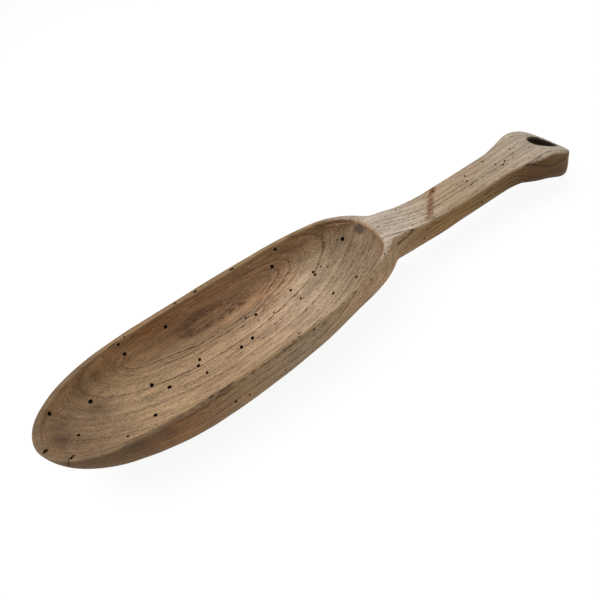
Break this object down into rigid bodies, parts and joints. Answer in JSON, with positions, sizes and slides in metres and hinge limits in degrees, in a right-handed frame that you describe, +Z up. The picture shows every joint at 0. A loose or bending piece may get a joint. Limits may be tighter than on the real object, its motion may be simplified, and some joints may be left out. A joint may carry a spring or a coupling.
{
  "type": "feed scoop",
  "caption": "Hand-carved wooden feed scoop with a long boat-shaped bowl, a waisted flat handle and a hanging hole in its drooping fishtail end.",
  "frame": {"origin": "on the table, under the middle of the scoop's length, on its centre line", "axes": "+X from the bowl's tip to the handle's end, +Y to the left of someone who looks along +X, +Z up out of the bowl's mouth"},
  "size_m": [0.37, 0.084, 0.0485],
  "materials": {
    "bowl_wood": "bare weathered open-grained hardwood, dry, with tool marks and woodworm holes",
    "handle_wood": "bare weathered hardwood, greyed and worn smooth by the hand"
  },
  "bodies": {
    "root": {"bowl": "bowl_wood", "handle": "handle_wood"}
  },
  "joints": []
}
